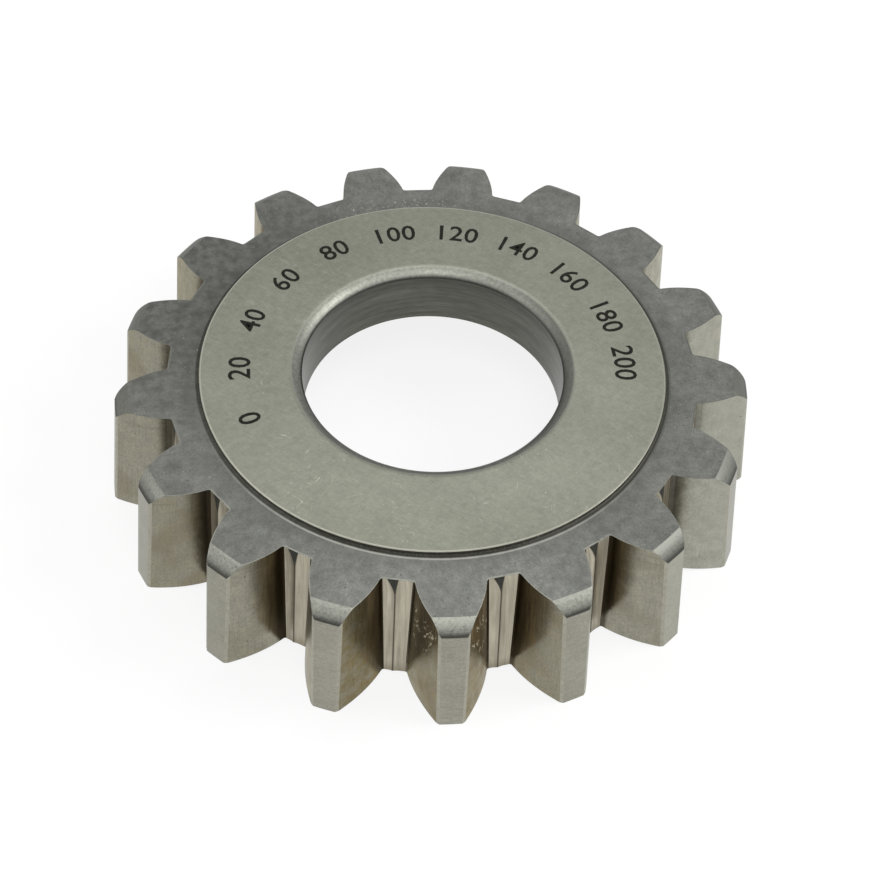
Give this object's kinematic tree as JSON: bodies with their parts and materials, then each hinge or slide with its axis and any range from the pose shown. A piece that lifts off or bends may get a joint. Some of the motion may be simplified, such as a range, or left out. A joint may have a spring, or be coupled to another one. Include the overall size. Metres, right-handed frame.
{
  "type": "disc gear shaper cutter",
  "caption": "Disc gear shaper cutter in ground tool steel: a ring of relieved involute teeth round a raised clamping face, with a ground bore and a nut recess below.",
  "frame": {"origin": "on the bore axis, at the plane that the cutting tips rest on", "axes": "+Z along the bore axis, from the cutting tips up to the clamping face; -Y through the middle of a tooth"},
  "size_m": [0.1118, 0.1112, 0.024],
  "materials": {
    "ground_steel": "ground"
  },
  "bodies": {
    "root": {"cutter": "ground_steel"}
  },
  "joints": []
}
